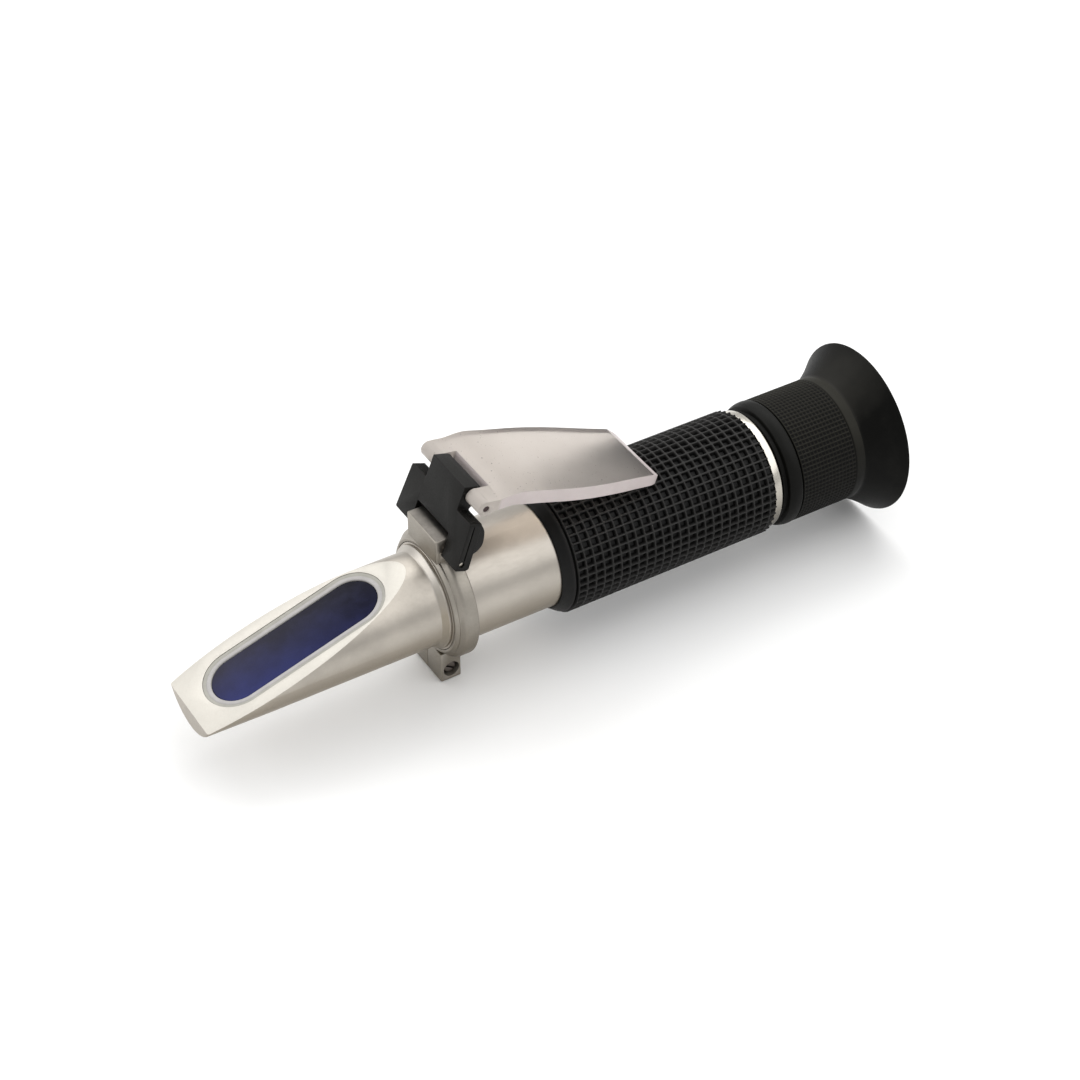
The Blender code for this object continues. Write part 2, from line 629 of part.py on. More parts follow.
make_barrel()
make_prism_box()
make_prism()
make_prism_seal()
make_collar()
make_clamp_screw()
make_bracket()
make_hinge_pins()
make_plate()
make_grip()
make_rear_bush()
make_calibration()
make_compensator()
make_barrel_optics()
make_ocular()
make_focus_ring()
make_eyecup()
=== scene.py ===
"""Looks of the hand-held refractometer, built round its CAD model. Metres, +Z up.

+X runs from the prism to the eyepiece along the level optical axis, and the near side is -Y.
Sizes and outlines are in millimetres, and each piece is made where it stands in the CAD model's frame.
An outline's corner is (a, b) or (a, b, reach), where reach is how far its rounding runs along each side.
"""

import json
from math import cos, pi, radians, sin

import bmesh
import bpy
from mathutils import Matrix, Vector


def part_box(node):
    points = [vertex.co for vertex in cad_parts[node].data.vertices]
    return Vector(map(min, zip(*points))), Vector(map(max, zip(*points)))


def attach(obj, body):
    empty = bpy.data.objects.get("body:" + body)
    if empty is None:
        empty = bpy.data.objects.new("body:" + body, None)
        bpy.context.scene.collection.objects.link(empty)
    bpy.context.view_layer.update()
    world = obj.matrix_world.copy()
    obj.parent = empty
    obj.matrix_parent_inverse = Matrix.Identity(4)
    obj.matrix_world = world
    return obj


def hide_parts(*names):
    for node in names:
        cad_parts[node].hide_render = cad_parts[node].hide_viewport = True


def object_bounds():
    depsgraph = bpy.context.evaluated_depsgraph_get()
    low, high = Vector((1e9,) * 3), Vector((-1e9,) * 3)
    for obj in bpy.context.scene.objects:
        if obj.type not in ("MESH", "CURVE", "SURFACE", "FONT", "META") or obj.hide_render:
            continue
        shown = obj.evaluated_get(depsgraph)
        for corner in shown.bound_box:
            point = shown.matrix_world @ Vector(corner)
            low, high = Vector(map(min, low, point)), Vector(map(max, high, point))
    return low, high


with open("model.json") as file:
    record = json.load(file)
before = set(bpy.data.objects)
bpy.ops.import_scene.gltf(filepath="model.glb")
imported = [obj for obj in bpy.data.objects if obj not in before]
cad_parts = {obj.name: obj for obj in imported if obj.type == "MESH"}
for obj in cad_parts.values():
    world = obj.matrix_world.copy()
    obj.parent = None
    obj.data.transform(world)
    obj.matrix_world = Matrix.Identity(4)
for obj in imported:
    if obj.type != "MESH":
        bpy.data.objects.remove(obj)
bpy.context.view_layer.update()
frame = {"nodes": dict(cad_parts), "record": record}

MM = 0.001
STEPS = 160  # round a turned piece
THROUGH = 20  # how far a cutter reaches to each side, past the object


def box_mm(node):
    """The lowest and highest corners of a CAD node, in millimetres."""
    low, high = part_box(node)
    return low / MM, high / MM


def middle_mm(node):
    """The middle of a CAD node, in millimetres."""
    low, high = box_mm(node)
    return (low + high) / 2


TUBE_LOW, TUBE_HIGH = box_mm("barrel_tube")
AXIS_Z = (TUBE_LOW.z + TUBE_HIGH.z) / 2
BARREL_R = (TUBE_HIGH.z - TUBE_LOW.z) / 2
NOSE_X = box_mm("prism_box")[0].x
COLLAR_LOW = box_mm("hinge_collar")[0]
GRIP_LOW, GRIP_HIGH = box_mm("grip_sleeve")
BUSH_BACK = box_mm("rear_bush")[1].x
FOCUS_LOW, FOCUS_HIGH = box_mm("focus_ring")
CUP_LOW, CUP_HIGH = box_mm("eyecup")
BRACKET_PIN = middle_mm("bracket_pin")
PLATE_PIN = middle_mm("plate_pin")
CLAMP = middle_mm("clamp_screw")
SEAT = middle_mm("calibration_seat")

BARREL_BORE_R = 10.0
SPIGOT_R = BARREL_BORE_R - 0.2  # of the box and the rear bush, inside the barrel
BARREL_FIT = 0.12  # between the barrel and the rings round it
BOX_R = 10.3
NOSE_R = 10.1  # the box widens a little from its nose
FLANGE_X = -29.75
FLANGE_R = 11.35
FLANGE_BACK = -28.1
COLLAR_X = -27.9
COLLAR_BACK = -23.1
COLLAR_R = 14.2
LUG_HALF_WIDTH = 5.9
LUG_TOP = 18.6  # above the axis
FACE_SLOPE = radians(17.5)
FACE_DROP = 5.25  # from the axis to the face at the nose
WINDOW_MIDDLE = 25.1  # along the face from the nose
WINDOW_HALF_STRAIGHT = 13.5
GLASS_R = 5.65
GLASS_DEPTH = 0.42  # from the face down to the glass
POCKET_DEPTH = 1.4
LIP_R = 6.7  # where the raised inner lip of the seal begins
SEAL_R = 7.45
FACE_PLACE = (NOSE_X, 0, AXIS_Z - FACE_DROP)
WINDOW_PLACE = (
    NOSE_X + WINDOW_MIDDLE * cos(FACE_SLOPE), 0,
    AXIS_Z - FACE_DROP + WINDOW_MIDDLE * sin(FACE_SLOPE),
)

BRACKET_LEAN = radians(21.5)
PLATE_PIN_BEHIND = 1.6  # the bracket's own pin, with the bracket upright
PLATE_PIN_ABOVE = 12.76
PLATE_SLOPE = radians(18.6)

GRIP_PITCH = 2.056
GRIP_ROWS = 46  # round the sleeve
CUP_PITCH = 0.9
CUP_ROWS = 89  # round the sleeve


# ---------------------------------------------------------------- mesh helpers

def new_object(name, form):
    """A new object in the scene, with the bmesh form as its mesh."""
    mesh = bpy.data.meshes.new(name)
    form.to_mesh(mesh)
    form.free()
    obj = bpy.data.objects.new(name, mesh)
    bpy.context.scene.collection.objects.link(obj)
    return obj


def rounded(outline, segments=3):
    """Turns each corner (a, b, reach) of a closed outline into a short curve."""
    points = []
    for i, (a, b, *reach) in enumerate(outline):
        here = Vector((a, b))
        before = Vector(outline[i - 1][:2]) - here
        after = Vector(outline[(i + 1) % len(outline)][:2]) - here
        cut = min(reach[0] if reach else 0, before.length * 0.48, after.length * 0.48)
        if cut <= 0:
            points.append((a, b))
            continue
        start, end = here + before.normalized() * cut, here + after.normalized() * cut
        for k in range(segments + 1):
            t = k / segments
            points.append(tuple(start * (1 - t) ** 2 + here * 2 * t * (1 - t) + end * t * t))
    return points


def ring_angles(steps):
    """Equal angles round a full turn."""
    return [2 * pi * i / steps for i in range(steps)]


def lathe(name, rings, angles=None, closed=True):
    """Spins rings of (x, radius) about the optical axis. A radius may be a list, one for each angle."""
    angles = angles or ring_angles(STEPS)
    form = bmesh.new()
    loops = []
    for x, radius in rings:
        if radius == 0:
            loops.append([form.verts.new(Vector((x, 0, AXIS_Z)) * MM)])
            continue
        radii = radius if isinstance(radius, list) else [radius] * len(angles)
        loops.append([
            form.verts.new(Vector((x, r * cos(a), AXIS_Z + r * sin(a))) * MM) for r, a in zip(radii, angles)
        ])
    pairs = list(zip(loops, loops[1:])) + ([(loops[-1], loops[0])] if closed else [])
    count = len(angles)
    for first, second in pairs:
        for i in range(count):
            j = (i + 1) % count
            corners = [first[i % len(first)], first[j % len(first)]]
            corners += [second[j % len(second)], second[i % len(second)]]
            corners = list(dict.fromkeys(corners))
            if len(corners) > 2:
                form.faces.new(corners)
    bmesh.ops.recalc_face_normals(form, faces=form.faces)
    return new_object(name, form)


def extruded(name, outline, low, high, axis="Y"):
    """A closed outline with thickness: in XZ from low to high along Y, or in XY along Z."""
    form = bmesh.new()
    ends = []
    for level in (low, high):
        ends.append([
            form.verts.new(Vector((a, level, b) if axis == "Y" else (a, b, level)) * MM) for a, b in outline
        ])
    form.faces.new(ends[0])
    form.faces.new(ends[1])
    count = len(outline)
    for i in range(count):
        j = (i + 1) % count
        form.faces.new([ends[0][i], ends[0][j], ends[1][j], ends[1][i]])
    bmesh.ops.recalc_face_normals(form, faces=form.faces)
    return new_object(name, form)


def block(name, low, high):
    """A box between two corners."""
    outline = [(low[0], low[2]), (high[0], low[2]), (high[0], high[2]), (low[0], high[2])]
    return extruded(name, outline, low[1], high[1])


def bar(name, radius, low, high, axis="Y", segments=48):
    """A round bar through the origin along Y or Z."""
    form = bmesh.new()
    bmesh.ops.create_cone(
        form, cap_ends=True, segments=segments,
        radius1=radius * MM, radius2=radius * MM, depth=(high - low) * MM,
    )
    bmesh.ops.translate(form, vec=(0, 0, (low + high) / 2 * MM), verts=form.verts)
    if axis == "Y":
        bmesh.ops.rotate(form, matrix=Matrix.Rotation(-pi / 2, 3, "X"), verts=form.verts)
    return new_object(name, form)


def stadium(radius, half_straight, steps=32):
    """The outline of a slot with round ends, as (x, y) points."""
    points = []
    for end, start in ((1, -pi / 2), (-1, pi / 2)):
        for i in range(steps + 1):
            angle = start + pi * i / steps
            points.append((end * half_straight + radius * cos(angle), radius * sin(angle)))
    return points


def stadium_band(name, section, half_straight):
    """A closed band whose section of (radius, height) runs round a stadium."""
    form = bmesh.new()
    loops = []
    for radius, z in section:
        loops.append([form.verts.new(Vector((a, b, z)) * MM) for a, b in stadium(radius, half_straight)])
    for first, second in zip(loops, loops[1:] + loops[:1]):
        for i in range(len(first)):
            j = (i + 1) % len(first)
            form.faces.new([first[i], first[j], second[j], second[i]])
    bmesh.ops.recalc_face_normals(form, faces=form.faces)
    return new_object(name, form)


def lathe_about(name, centre, axis, outline, steps=64):
    """A turned piece whose axis runs along Y or Z through a centre: (x, z) for Y, (x, y) for Z."""
    made = lathe(name, rounded(outline), ring_angles(steps), closed=False)
    made.data.transform(Matrix.Translation((0, 0, -AXIS_Z * MM)))
    if axis == "Y":
        turn, place = Matrix.Rotation(pi / 2, 4, "Z"), (centre[0], 0, centre[1])
    else:
        turn, place = Matrix.Rotation(-pi / 2, 4, "Y"), (centre[0], centre[1], 0)
    made.data.transform(turn)
    made.data.transform(Matrix.Translation(Vector(place) * MM))
    return made


def put(obj, place, tilt=0.0):
    """Moves an object's mesh from its own frame to a place in millimetres, tilted about Y."""
    obj.data.transform(Matrix.Translation(Vector(place) * MM) @ Matrix.Rotation(tilt, 4, "Y"))
    return obj


def settle(obj):
    """Replaces an object's mesh by its evaluated mesh, and removes its modifiers."""
    bpy.context.view_layer.update()
    mesh = bpy.data.meshes.new_from_object(obj.evaluated_get(bpy.context.evaluated_depsgraph_get()))
    obj.modifiers.clear()
    obj.data = mesh
    return obj


def combine(obj, others, operation="DIFFERENCE"):
    """Cuts the others from obj, or joins them to it, and removes them."""
    for other in others:
        boolean = obj.modifiers.new("join", "BOOLEAN")
        boolean.operation = operation
        boolean.solver = "EXACT"
        boolean.object = other
    settle(obj)
    for other in others:
        bpy.data.objects.remove(other)


def soften(obj, width, segments=3, angle=32):
    """Rounds an object's sharp edges by width in millimetres."""
    edge = obj.modifiers.new("soft edges", "BEVEL")
    edge.width = width * MM
    edge.segments = segments
    edge.limit_method = "ANGLE"
    edge.angle_limit = radians(angle)
    return settle(obj)


def paint(obj, finishes, choose):
    """Gives an object several finishes, and each face the one that choose(face) numbers."""
    for finish in finishes:
        obj.data.materials.append(finish)
    for face in obj.data.polygons:
        face.material_index = choose(face)


def piece(obj, body, material, nodes, sharp=32):
    """Finishes a visible piece: its shading, its material if it has none, and what it rides and replaces."""
    obj.data.shade_smooth()
    obj.data.set_sharp_from_angle(angle=radians(sharp))
    if not obj.data.materials:
        obj.data.materials.append(material)
    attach(obj, body)
    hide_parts(*nodes)


# ---------------------------------------------------------------- materials

PIT_SHADE = 0.3  # painted shade: how much of its colour a pit between ribs keeps


class Finish:
    """A Principled material under construction, with short calls for the nodes that it needs."""

    def __init__(self, name, colour, roughness, **values):
        self.material = bpy.data.materials.new(name)
        self.material.use_nodes = True
        self.tree = self.material.node_tree
        self.shader = self.tree.nodes["Principled BSDF"]
        self.set("Base Color", (*colour, 1.0))
        self.set("Roughness", roughness)
        for socket, value in values.items():
            self.set(socket.replace("_", " "), value)
        coordinates = self.tree.nodes.new("ShaderNodeTexCoord")
        self.where = coordinates.outputs["Object"]
        self.facing = coordinates.outputs["Normal"]

    def set(self, socket, value):
        self.shader.inputs[socket].default_value = value

    def link(self, source, socket):
        self.tree.links.new(source, self.shader.inputs[socket])

    def node(self, kind, inputs=(), **settings):
        made = self.tree.nodes.new(f"ShaderNode{kind}")
        for key, value in settings.items():
            setattr(made, key, value)
        for key, value in dict(inputs).items():
            if isinstance(value, bpy.types.NodeSocket):
                self.tree.links.new(value, made.inputs[key])
            else:
                made.inputs[key].default_value = value
        return made

    def stretched(self, scale):
        return self.node("Mapping", {"Vector": self.where, "Scale": scale}).outputs["Vector"]

    def noise(self, size_mm, detail=3.0, roughness=0.5, stretch=(1, 1, 1)):
        """Noise whose features are about size_mm across."""
        where = self.stretched(stretch) if stretch != (1, 1, 1) else self.where
        return self.node("TexNoise", {
            "Vector": where, "Scale": 1 / (size_mm * MM), "Detail": detail, "Roughness": roughness,
        }).outputs["Fac"]

    def ramp(self, factor, stops):
        """A colour that runs through (position, colour) stops."""
        made = self.node("ValToRGB", {"Fac": factor})
        ramp = made.color_ramp
        while len(ramp.elements) < len(stops):
            ramp.elements.new(0.5)
        for element, (position, colour) in zip(ramp.elements, stops):
            element.position = position
            element.color = (*colour, 1.0)
        return made.outputs["Color"]

    def span(self, value, low, high, to_low, to_high):
        """Carries a value from one range to another."""
        return self.node("MapRange", {
            "Value": value, "From Min": low, "From Max": high, "To Min": to_low, "To Max": to_high,
        }).outputs["Result"]

    def math(self, operation, first, second):
        return self.node("Math", {0: first, 1: second}, operation=operation).outputs["Value"]

    def mix(self, factor, first, second):
        """A colour between two, each given as a value or as a socket."""
        made = self.node("Mix", {"Factor": factor}, data_type="RGBA")
        for index, value in ((6, first), (7, second)):
            if isinstance(value, bpy.types.NodeSocket):
                self.tree.links.new(value, made.inputs[index])
            else:
                made.inputs[index].default_value = (*value, 1.0)
        return made.outputs[2]

    def upward(self, low, high, to_low, to_high):
        """A value that follows how far the surface faces up, from low to high."""
        split = self.node("SeparateXYZ", {"Vector": self.facing})
        return self.span(split.outputs["Z"], low, high, to_low, to_high)

    def radius(self):
        """Distance from the optical axis."""
        shifted = self.node("VectorMath", {0: self.where, 1: (0, 0, AXIS_Z * MM)}, operation="SUBTRACT")
        flat = self.node("VectorMath", {0: shifted.outputs["Vector"], 1: (0, 1, 1)}, operation="MULTIPLY")
        return self.node("VectorMath", {0: flat.outputs["Vector"]}, operation="LENGTH").outputs["Value"]

    def bump(self, height, distance_mm):
        made = self.node("Bump", {"Height": height, "Distance": distance_mm * MM, "Strength": 1.0})
        self.link(made.outputs["Normal"], "Normal")

    def roughen(self, value, low, high):
        """Lets a noise value vary the roughness between low and high."""
        self.link(self.span(value, 0.3, 0.7, low, high), "Roughness")


def metal(
    name, colour, roughness, grain=0.25, streak=(1, 1, 1), bump=0.004, tint=0.06,
    painted_shade=0.28, rise=(-0.4, 0.15),
):
    """Metal with a fine grain, which a streak stretches, and faint clouds of tone.
    Painted shade darkens and warms it where it faces down, and is gone where its normal's rise passes the
    second value."""
    made = Finish(name, colour, roughness, Metallic=1.0)
    clouds = made.noise(9.0, 4.0, 0.6)
    fine = made.noise(grain, 2.0, 0.6, streak)
    dark = tuple(c * (1 - tint) for c in colour)
    light = tuple(min(1.0, c * (1 + tint * 0.6)) for c in colour)
    toned = made.mix(made.span(clouds, 0.35, 0.65, 0.0, 1.0), dark, light)
    # painted shade: darker and warmer where the surface faces down
    dull = tuple(c * (1 - painted_shade) * warm for c, warm in zip(colour, (1.0, 0.94, 0.84)))
    made.link(made.mix(made.upward(*rise, 0.0, 1.0), dull, toned), "Base Color")
    made.roughen(fine, roughness - 0.05, roughness + 0.07)
    made.bump(fine, bump)
    return made.material


def rubber(name, colour, roughness, painted_top_light, crest, specular, rise):
    """Matt rubber with a fine skin: paler where it faces up, as painted light, and darker in its pits than on
    its crests, as painted shade.
    """
    made = Finish(name, colour, roughness)
    made.set("Specular IOR Level", specular)
    clouds = made.noise(7.0, 4.0, 0.65)
    skin = made.noise(0.22, 3.0, 0.7)
    # painted light: paler where the surface faces up
    upward_share = made.math("ADD", made.upward(*rise, 0.0, 1.0), made.span(clouds, 0.3, 0.7, -0.12, 0.12))
    top_lit = made.mix(upward_share, colour, painted_top_light)
    # painted shade: darker in the pits between the ribs
    pit = tuple(c * PIT_SHADE for c in colour)
    height = made.span(made.radius(), crest[0] * MM, crest[1] * MM, 0.0, 1.0)
    made.link(made.mix(height, pit, top_lit), "Base Color")
    made.roughen(skin, roughness - 0.08, roughness + 0.08)
    made.bump(skin, 0.012)
    return made.material


def moulded_plastic(name, colour, roughness, specular):
    """Black plastic with a spark-eroded grain, a little paler where it faces up."""
    made = Finish(name, colour, roughness)
    made.set("Specular IOR Level", specular)
    grain = made.noise(0.35, 3.0, 0.65)
    clouds = made.noise(5.0, 3.0, 0.5)
    upward_colour = tuple(c * 1.6 + 0.006 for c in colour)
    upward_share = made.math("ADD", made.upward(0.2, 1.0, 0.0, 0.8), made.span(clouds, 0.3, 0.7, -0.1, 0.2))
    made.link(made.mix(upward_share, colour, upward_colour), "Base Color")
    made.roughen(grain, roughness - 0.07, roughness + 0.09)
    made.bump(grain, 0.015)
    return made.material


# each metal below is darker where it faces down: painted shade
satin = metal("satin_aluminium", (0.435, 0.402, 0.358), 0.36, streak=(0.15, 1, 1))
cast = metal("cast_alloy", (0.425, 0.392, 0.347), 0.38, grain=0.35, bump=0.006, tint=0.10)
collar_metal = metal(
    "collar_alloy", (0.335, 0.31, 0.272), 0.46, grain=0.35, bump=0.008, tint=0.12, painted_shade=0.45,
)
# painted shade: the lug's top is darker and more mottled than the collar
lug_top_shade = metal(
    "lug_top_painted_shade", (0.19, 0.176, 0.158), 0.42, grain=0.35, bump=0.008, tint=0.35, painted_shade=0.45,
)
cone_metal = metal(
    "polished_cone", (0.50, 0.47, 0.425), 0.40, bump=0.0015, tint=0.04, painted_shade=0.42, rise=(0.2, 0.65),
)
milled = metal("milled_face", (0.59, 0.565, 0.515), 0.48, grain=0.3, bump=0.003, tint=0.03)
bright = metal("bright_ring", (0.62, 0.59, 0.53), 0.24, streak=(1, 0.1, 0.1), painted_shade=0.75, rise=(-0.5, 0.7))
steel = metal("dull_steel", (0.14, 0.125, 0.115), 0.34, tint=0.15)
black_metal = metal("black_anodised", (0.035, 0.035, 0.036), 0.5, tint=0.2)
pin_metal = metal("bright_pin", (0.52, 0.49, 0.44), 0.35)
dark_pin = metal("dark_pin", (0.085, 0.065, 0.065), 0.6)
brass = metal("turned_brass", (0.78, 0.58, 0.27), 0.28, streak=(1, 0.1, 0.1))
# each rubber below is paler where it faces up, as painted light, and darker in its pits, as painted shade
grip_rubber = rubber(
    "grip_rubber", (0.0075, 0.0072, 0.0068), 0.5,
    painted_top_light=(0.024, 0.023, 0.022), crest=(13.4, 14.05), specular=0.2, rise=(-0.2, 1.0),
)
cup_rubber = rubber(
    "cup_rubber", (0.0030, 0.0028, 0.0020), 0.55,
    painted_top_light=(0.020, 0.019, 0.0145), crest=(13.95, 14.1), specular=0.12, rise=(-0.1, 1.0),
)
flare_rubber = rubber(
    "flare_rubber", (0.0018, 0.0018, 0.0014), 0.48,
    painted_top_light=(0.022, 0.021, 0.018), crest=(13.95, 14.1), specular=0.08, rise=(0.62, 0.98),
)
black_plastic = moulded_plastic("black_plastic", (0.0040, 0.0037, 0.0030), 0.42, 0.15)
ring_plastic = moulded_plastic("ring_plastic", (0.0026, 0.0026, 0.0020), 0.45, 0.09)


def seal_material(name, low, high):
    """Set sealing compound, a little uneven in tone and surface."""
    made = Finish(name, low, 0.5)
    clouds = made.noise(3.0, 4.0, 0.6)
    made.link(made.mix(made.span(clouds, 0.35, 0.65, 0.0, 1.0), low, high), "Base Color")
    made.roughen(clouds, 0.42, 0.6)
    made.bump(made.noise(0.6, 3.0, 0.6), 0.02)
    return made.material


def prism_material():
    """Deep blue glass with a painted dark reflection: bluest on the near side, greyer across, and nearly
    black towards the barrel.
    """
    made = Finish("blue_prism_glass", (0.03, 0.035, 0.10), 0.25)
    made.set("Specular IOR Level", 0.06)
    made.set("IOR", 1.52)
    split = made.node("SeparateXYZ", {"Vector": made.where})
    cloud = made.span(made.noise(6.0, 4.0, 0.6), 0.3, 0.7, -0.12, 0.12)
    near_side, far_side = -5 * MM, 4.5 * MM
    nose_end, barrel_end = -72 * MM, -41 * MM
    across = made.math("ADD", made.span(split.outputs["Y"], near_side, far_side, 0.0, 1.0), cloud)
    along = made.math("ADD", made.span(split.outputs["X"], nose_end, barrel_end, 0.0, 1.0), cloud)
    # painted dark reflection: greyer across the glass, and darker towards the barrel
    reflected_tone = made.mix(across, (0.031, 0.036, 0.125), (0.030, 0.029, 0.048))
    depth = made.ramp(along, [
        (0.0, (1, 1, 1)), (0.45, (0.68, 0.68, 0.66)), (0.8, (0.38, 0.38, 0.40)), (1.0, (0.12, 0.12, 0.18)),
    ])
    product = made.node("VectorMath", {0: reflected_tone, 1: depth}, operation="MULTIPLY").outputs["Vector"]
    made.link(product, "Base Color")
    made.roughen(made.noise(1.5, 4.0, 0.6), 0.2, 0.32)
    return made.material


def clear_plastic_material(name, low, high, transmission, roughness, milky=None):
    """Frosted clear plastic: it scatters what lies behind it, and carries a faint warm pink.
    A milky share, if given, is how much it lets through by the hinge."""
    made = Finish(name, low, roughness)
    made.set("Transmission Weight", transmission)
    made.set("Specular IOR Level", 0.15)
    made.set("IOR", 1.42)
    clouds = made.noise(6.0, 4.0, 0.6)
    tone = made.mix(made.span(clouds, 0.35, 0.65, 0.0, 1.0), low, high)
    if milky is not None:
        split = made.node("SeparateXYZ", {"Vector": made.where})
        milky_end, clear_start = (PLATE_PIN.x + 2) * MM, (PLATE_PIN.x + 16) * MM
        away = made.span(split.outputs["X"], milky_end, clear_start, 0.0, 1.0)
        made.link(made.span(away, 0.0, 1.0, milky, transmission), "Transmission Weight")
        tone = made.mix(away, tuple(c * 0.8 for c in low), tone)
    made.link(tone, "Base Color")
    made.roughen(made.noise(0.5, 3.0, 0.6), roughness - 0.05, roughness + 0.07)
    return made.material


def lens_material():
    """Clear coated glass with a trace of haze."""
    made = Finish("coated_lens_glass", (0.93, 0.96, 0.97), 0.02)
    made.set("Transmission Weight", 1.0)
    made.set("IOR", 1.52)
    haze = made.noise(4.0, 3.0, 0.6)
    tone = made.mix(made.span(haze, 0.4, 0.6, 0.0, 1.0), (0.90, 0.95, 0.97), (0.95, 0.97, 0.97))
    made.link(tone, "Base Color")
    made.roughen(haze, 0.01, 0.04)
    return made.material


seal_finish = seal_material("sealing_compound", (0.31, 0.30, 0.265), (0.37, 0.36, 0.32))
lip_finish = seal_material("seal_inner_lip", (0.36, 0.345, 0.335), (0.42, 0.405, 0.395))
prism_finish = prism_material()
clear_finish = clear_plastic_material(
    "frosted_clear_plastic", (0.70, 0.64, 0.585), (0.74, 0.68, 0.625),
    transmission=0.95, roughness=0.32, milky=0.35,
)
edge_finish = clear_plastic_material(
    "clear_plastic_edge", (0.53, 0.47, 0.46), (0.58, 0.52, 0.51), transmission=0.15, roughness=0.35,
)
lens_finish = lens_material()


# ---------------------------------------------------------------- prism box, glass and seal

def make_prism_box():
    """A turned box with a cone behind it, cut by the sloping face and by a pocket for the glass."""
    taper_end = NOSE_X + 14
    spigot_end = -21.0
    hollow_front, hollow_r = -30.0, 8.0
    outline = [
        (NOSE_X, 0), (NOSE_X, NOSE_R, 0.5), (taper_end, BOX_R), (FLANGE_X, BOX_R, 0.25),
        (FLANGE_X + FLANGE_R - BOX_R, FLANGE_R, 0.15), (FLANGE_BACK, FLANGE_R, 0.12), (FLANGE_BACK, SPIGOT_R),
        (spigot_end, SPIGOT_R), (spigot_end, hollow_r), (hollow_front, hollow_r), (hollow_front, 0),
    ]
    box = lathe("prism_box_shell", rounded(outline), closed=False)
    waste = put(block("waste", (-6, -20, 0), (75, 20, 40)), FACE_PLACE, -FACE_SLOPE)
    pocket = extruded("pocket", stadium(SEAL_R, WINDOW_HALF_STRAIGHT), -POCKET_DEPTH, 4, "Z")
    put(pocket, WINDOW_PLACE, -FACE_SLOPE)
    combine(box, [waste, pocket])
    soften(box, 0.16, 3, 28)

    outward = Vector((-sin(FACE_SLOPE), 0, cos(FACE_SLOPE)))
    start = Vector(FACE_PLACE) * MM

    def choose(face):
        on_cone = face.center.x > (FLANGE_X - 0.05) * MM and 0.3 < -face.normal.x < 0.95
        on_face = face.normal.dot(outward) > 0.95 and abs((face.center - start).dot(outward)) < 0.25 * MM
        return 2 if on_cone else 1 if on_face else 0

    paint(box, [cast, milled, cone_metal], choose)
    piece(box, "barrel", cast, ["prism_box"], 28)


def make_window():
    """The glass, and the bead of sealing compound round it with its raised inner lip."""
    glass = extruded("prism_glass", stadium(GLASS_R, WINDOW_HALF_STRAIGHT), -1.6, -GLASS_DEPTH, "Z")
    soften(glass, 0.2, 3, 40)
    put(glass, WINDOW_PLACE, -FACE_SLOPE)
    piece(glass, "barrel", prism_finish, ["prism"], 30)

    outer, inner, foot = SEAL_R - 0.04, GLASS_R + 0.06, -1.3
    section = [
        (outer, foot), (outer, -0.12), (SEAL_R - 0.14, -0.08), (LIP_R + 0.12, -0.3),
        (LIP_R, -0.3), (LIP_R - 0.1, -0.2), (LIP_R - 0.25, -0.17),
        (GLASS_R + 0.3, -0.2), (GLASS_R + 0.14, -0.26), (inner, -0.5), (inner, foot),
    ]
    lip_first, lip_last = 4, 8  # the section's sides that make the lip
    seal = stadium_band("prism_seal_bead", section, WINDOW_HALF_STRAIGHT)
    around = len(stadium(SEAL_R, WINDOW_HALF_STRAIGHT))
    paint(seal, [seal_finish, lip_finish], lambda face: int(lip_first <= face.index // around <= lip_last))
    put(seal, WINDOW_PLACE, -FACE_SLOPE)
    piece(seal, "barrel", seal_finish, ["prism_seal"], 60)


# ---------------------------------------------------------------- barrel, collar and clamp

def make_barrel():
    """The plain tube behind the box, which runs on under the grip, with a hole for the screw seat."""
    low, high = FLANGE_BACK + 0.01, TUBE_HIGH.x
    outline = [
        (low, BARREL_R, 0.15), (high, BARREL_R, 0.15), (high, BARREL_BORE_R, 0.1), (low, BARREL_BORE_R, 0.1),
    ]
    barrel = lathe("barrel_shell", rounded(outline))
    seat_hole_r = 2.6
    seat_hole = put(bar("hole", seat_hole_r, -6, THROUGH, "Z"), (SEAT.x, 0, AXIS_Z + 8))
    combine(barrel, [seat_hole])
    piece(barrel, "barrel", satin, ["barrel_tube"])


